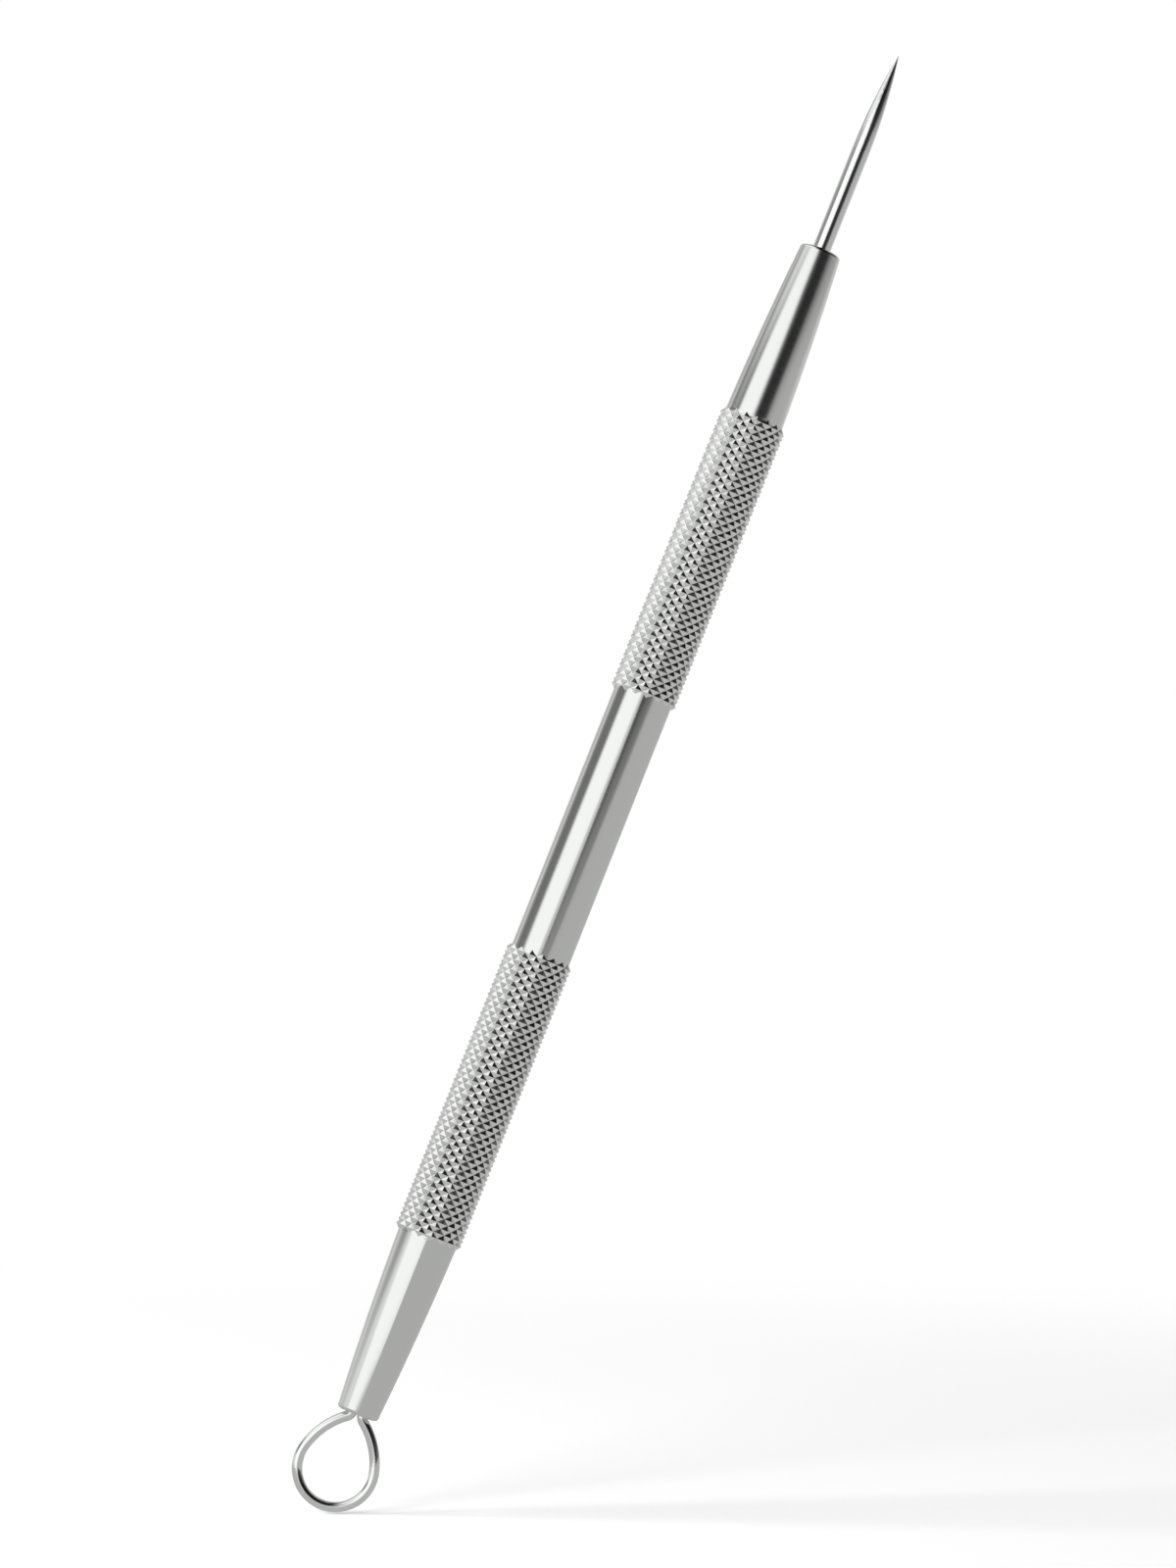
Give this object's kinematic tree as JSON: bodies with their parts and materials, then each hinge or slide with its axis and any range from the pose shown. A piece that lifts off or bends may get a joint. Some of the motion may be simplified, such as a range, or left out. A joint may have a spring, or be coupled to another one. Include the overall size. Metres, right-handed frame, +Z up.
{
  "type": "blackhead extractor",
  "caption": "Slim straight steel hand tool with diamond-knurled grip bands, a sharp lancet needle at one end and a bent wire loop at the other.",
  "frame": {"origin": "middle of the tool's length and width, at table height under the tips of the knurled bands", "axes": "+X along the tool towards the needle's tip, +Y across it in the plane of the loop, +Z up; the tool lies on its knurled bands with the loop level"},
  "size_m": [0.1204, 0.0066, 0.0053],
  "materials": {
    "satin_steel": "satin, turned along its length, with knurled bands",
    "polished_steel": "polished",
    "silver_braze": "as it flowed, pale silver"
  },
  "bodies": {
    "root": {"handle": "satin_steel", "lancet_needle": "polished_steel", "extractor_loop": "polished_steel", "needle_braze": "silver_braze", "loop_braze": "silver_braze"}
  },
  "joints": []
}
